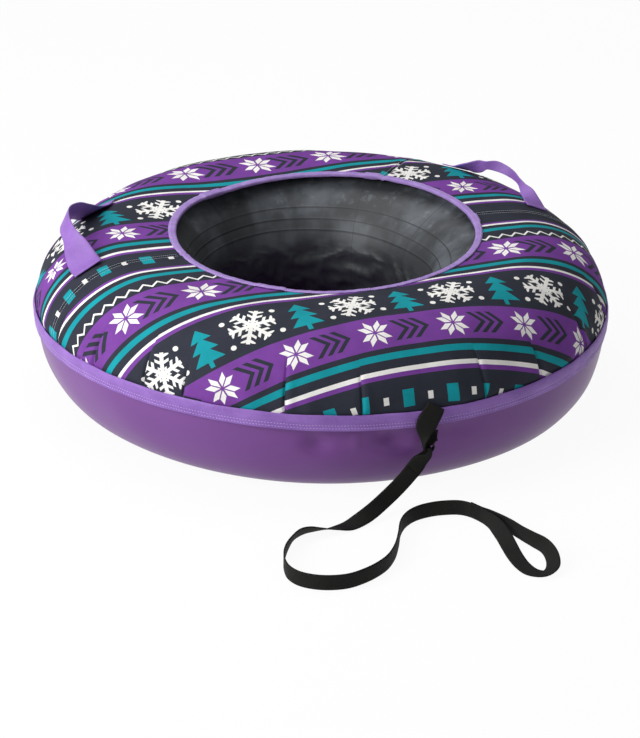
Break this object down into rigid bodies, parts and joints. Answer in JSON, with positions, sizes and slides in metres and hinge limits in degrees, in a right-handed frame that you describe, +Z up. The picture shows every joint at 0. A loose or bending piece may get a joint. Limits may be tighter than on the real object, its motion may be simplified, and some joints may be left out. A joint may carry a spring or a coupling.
{
  "type": "snow tube",
  "caption": "Inflatable ring-shaped snow tube with a printed fabric cover, a coated bottom pan, webbing handles on the shoulder and a tow leash with a hand loop.",
  "frame": {"origin": "centre of the pan's flat underside, on the ground", "axes": "+Z up along the ring's axis; -Y towards the tow leash, which is the front; +X completes a right-handed frame"},
  "size_m": [0.9708, 1.2881, 0.3057],
  "materials": {
    "butyl_rubber": "matt",
    "printed_polyester": "woven, printed",
    "coated_fabric": "glossy coating",
    "purple_tape": "woven",
    "purple_webbing": "woven",
    "black_webbing": "woven",
    "brass": "turned",
    "black_nylon": "moulded"
  },
  "bodies": {
    "tube": {"inner_tube": "butyl_rubber", "valve_base": "butyl_rubber", "valve_stem": "brass", "valve_core": "brass", "top_panel_front": "printed_polyester", "top_panel_rear_left": "printed_polyester", "top_panel_rear_right": "printed_polyester", "hole_binding": "purple_tape", "bottom_pan": "coated_fabric", "rim_binding": "purple_tape", "handle_left_first_end": "purple_webbing", "handle_left_second_end": "purple_webbing", "handle_right_first_end": "purple_webbing", "handle_right_second_end": "purple_webbing", "leash_tab": "black_webbing"},
    "left_handle": {"handle_left": "purple_webbing"},
    "right_handle": {"handle_right": "purple_webbing"},
    "leash": {"tow_leash": "black_webbing", "hand_loop": "black_webbing"},
    "valve_pin": {"valve_core_pin": "brass"},
    "cap": {"valve_cap": "black_nylon", "valve_cap_seal": "butyl_rubber"}
  },
  "joints": [
    {"name": "left_handle_flex", "type": "hinge", "parent": "tube", "child": "left_handle", "pos_m": [-0.3766, 0.12601, 0.26144], "axis": [-0.3173, -0.9483, 0], "range_deg": [-20, 20], "stiffness_Nm_per_rad": 0.05},
    {"name": "right_handle_flex", "type": "hinge", "parent": "tube", "child": "right_handle", "pos_m": [0.37525, 0.12556, 0.2583], "axis": [-0.3173, 0.9483, 0], "range_deg": [-20, 20], "stiffness_Nm_per_rad": 0.05},
    {"name": "leash_swing", "type": "hinge", "parent": "tube", "child": "leash", "pos_m": [-0.003, -0.496, 0.0925], "axis": [0, 0, 1], "range_deg": [-12, 12]},
    {"name": "valve_pin_press", "type": "slide", "parent": "tube", "child": "valve_pin", "axis": [0, -1, 0], "range_m": [0, 0.001], "stiffness_N_per_m": 300, "springref_m": -0.001},
    {"name": "cap_lift", "type": "slide", "parent": "tube", "child": "cap", "axis": [0, 1, 0], "range_m": [0, 0.00636]}
  ]
}
